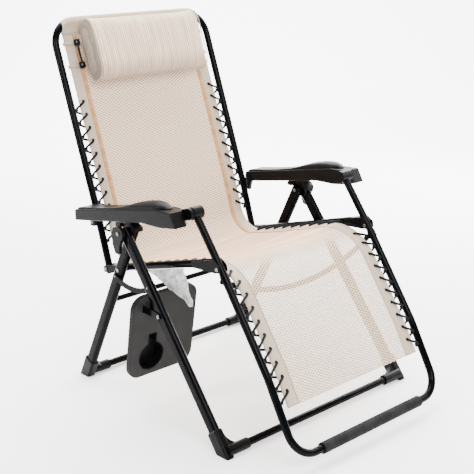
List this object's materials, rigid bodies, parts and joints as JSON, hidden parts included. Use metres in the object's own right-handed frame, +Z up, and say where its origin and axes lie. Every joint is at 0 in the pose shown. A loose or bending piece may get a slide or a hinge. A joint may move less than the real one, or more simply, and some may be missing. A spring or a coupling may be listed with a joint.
{
  "type": "zero gravity recliner",
  "caption": "Folding reclining lounge chair: laced mesh sling on tubular back, seat and leg frames, coupled armrests with hub locks, head pillow and stowed cup tray.",
  "frame": {"origin": "on the floor, on the chair's middle plane, halfway along its length as stored upright", "axes": "+Z up, +X to the sitter's left, the sitter faces -Y"},
  "size_m": [0.8065, 1.082, 1.099],
  "materials": {
    "frame_paint": "gloss",
    "black_plastic": "satin",
    "armrest_pad": "satin",
    "steel_rivet": "satin",
    "beige_mesh": "matte",
    "black_elastic": "matte",
    "eyelet_ring": "satin",
    "buckle_plastic": "gloss",
    "foam_sleeve": "matte",
    "tray_plastic": "matte",
    "white_tag": "matte"
  },
  "bodies": {
    "rear_frame": {"rear_leg_left": "frame_paint", "rear_leg_right": "frame_paint", "rear_foot_left": "black_plastic", "rear_foot_right": "black_plastic", "rear_floor_bar": "frame_paint", "rear_cross_brace": "frame_paint", "hub_left": "black_plastic", "hub_right": "black_plastic", "hub_bolts": "steel_rivet", "leg_stay_left": "frame_paint", "leg_stay_right": "frame_paint", "stay_rivets": "steel_rivet"},
    "front_legs": {"front_leg_left": "frame_paint", "front_leg_right": "frame_paint", "front_foot_left": "black_plastic", "front_foot_right": "black_plastic", "front_floor_bar": "frame_paint", "stay_pins": "steel_rivet", "tray_bolt": "steel_rivet"},
    "seat": {"seat_rail_left": "frame_paint", "seat_rail_right": "frame_paint", "back_pivot_brackets": "frame_paint", "leg_pivot_brackets": "frame_paint", "back_pivot_pins": "steel_rivet", "leg_pivot_pins": "steel_rivet", "seat_pivot_pins": "steel_rivet", "seat_bushes": "black_plastic", "seat_sling": "beige_mesh", "seat_eyelets": "eyelet_ring", "seat_laces": "black_elastic", "hang_tag": "white_tag"},
    "back": {"back_frame": "frame_paint", "back_sling": "beige_mesh", "back_eyelets": "eyelet_ring", "back_laces": "black_elastic", "top_hem": "beige_mesh", "arm_pins": "steel_rivet"},
    "leg_rest": {"leg_frame": "frame_paint", "leg_sling": "beige_mesh", "leg_eyelets": "eyelet_ring", "leg_laces": "black_elastic", "foot_sleeve": "foam_sleeve", "knee_brace": "frame_paint", "leg_knuckle_left": "black_plastic", "leg_knuckle_right": "black_plastic"},
    "armrest_left": {"armrest_left": "black_plastic", "armrest_pad_left": "armrest_pad"},
    "armrest_right": {"armrest_right": "black_plastic", "armrest_pad_right": "armrest_pad"},
    "lock_lever_left": {"lock_lever_left": "black_plastic"},
    "lock_lever_right": {"lock_lever_right": "black_plastic"},
    "pillow": {"pillow": "beige_mesh", "pillow_buckles": "buckle_plastic", "pillow_straps": "beige_mesh"},
    "tray": {"tray_panel": "tray_plastic", "tray_bracket": "frame_paint"}
  },
  "joints": [
    {"name": "recline", "type": "hinge", "parent": "seat", "child": "back", "pos_m": [0, 0.271, 0.372], "axis": [-1, 0, 0], "range_deg": [0, 28]},
    {"name": "seat_tilt", "type": "hinge", "parent": "rear_frame", "child": "seat", "pos_m": [0, 0.166, 0.402], "axis": [-1, 0, 0], "range_deg": [0, 18.5]},
    {"name": "leg_raise", "type": "hinge", "parent": "seat", "child": "leg_rest", "pos_m": [0, -0.233, 0.497], "axis": [-1, 0, 0], "range_deg": [0, 30.5]},
    {"name": "armrest_left_swing", "type": "hinge", "parent": "back", "child": "armrest_left", "pos_m": [0, 0.316, 0.512], "axis": [1, 0, 0], "range_deg": [0, 32.5]},
    {"name": "armrest_right_swing", "type": "hinge", "parent": "back", "child": "armrest_right", "pos_m": [0, 0.316, 0.512], "axis": [1, 0, 0], "range_deg": [0, 32.5]},
    {"name": "front_leg_fold", "type": "hinge", "parent": "rear_frame", "child": "front_legs", "pos_m": [0, 0.099, 0.537], "axis": [1, 0, 0], "range_deg": [0, 15]},
    {"name": "lock_lever_left_turn", "type": "hinge", "parent": "rear_frame", "child": "lock_lever_left", "pos_m": [0, 0.099, 0.537], "axis": [1, 0, 0], "range_deg": [0, 35]},
    {"name": "lock_lever_right_turn", "type": "hinge", "parent": "rear_frame", "child": "lock_lever_right", "pos_m": [0, 0.099, 0.537], "axis": [1, 0, 0], "range_deg": [0, 35]},
    {"name": "pillow_slide", "type": "slide", "parent": "back", "child": "pillow", "axis": [0, 0.349, 0.9371], "range_m": [-0.09, 0], "deforming": ["pillow_straps"]},
    {"name": "tray_swing", "type": "hinge", "parent": "front_legs", "child": "tray", "pos_m": [-0.365, -0.062, 0.331], "axis": [-1, 0, 0], "range_deg": [0, 30]}
  ],
  "couplings": [
    {"joint": "seat_tilt", "follows": "recline", "ratio": 0.65},
    {"joint": "leg_raise", "follows": "recline", "ratio": 1.07},
    {"joint": "armrest_left_swing", "follows": "recline", "ratio": 1.135},
    {"joint": "armrest_right_swing", "follows": "recline", "ratio": 1.135}
  ]
}
